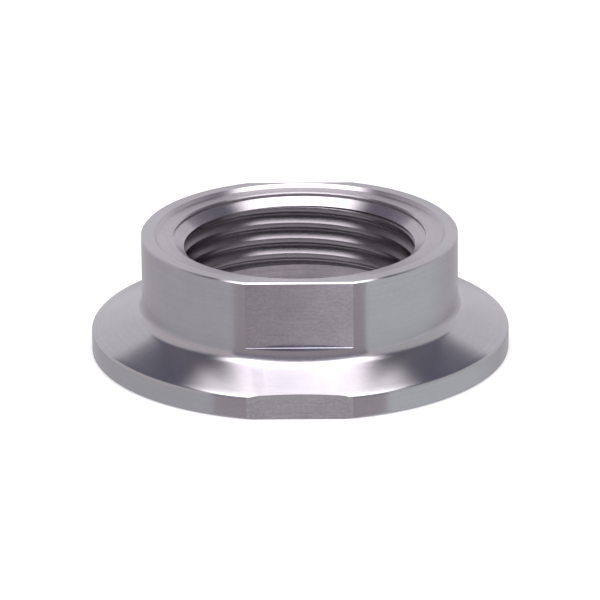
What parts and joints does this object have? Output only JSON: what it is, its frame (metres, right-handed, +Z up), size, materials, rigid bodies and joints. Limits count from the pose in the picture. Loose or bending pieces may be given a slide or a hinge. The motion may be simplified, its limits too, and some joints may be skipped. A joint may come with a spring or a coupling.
{
  "type": "sanitary clamp threaded adapter",
  "caption": "Round stainless steel adapter with a clamp flange below and an internally threaded hub with wrench flats above.",
  "frame": {"origin": "centre of the gasket face at the bottom of the clamp flange", "axes": "+Z up along the bore axis, out of the threaded mouth; the milled flats face -Y and +Y"},
  "size_m": [0.0506, 0.049, 0.0147],
  "materials": {
    "turned_steel": "fine turned stainless steel, satin"
  },
  "bodies": {
    "root": {"adapter_body": "turned_steel"}
  },
  "joints": []
}
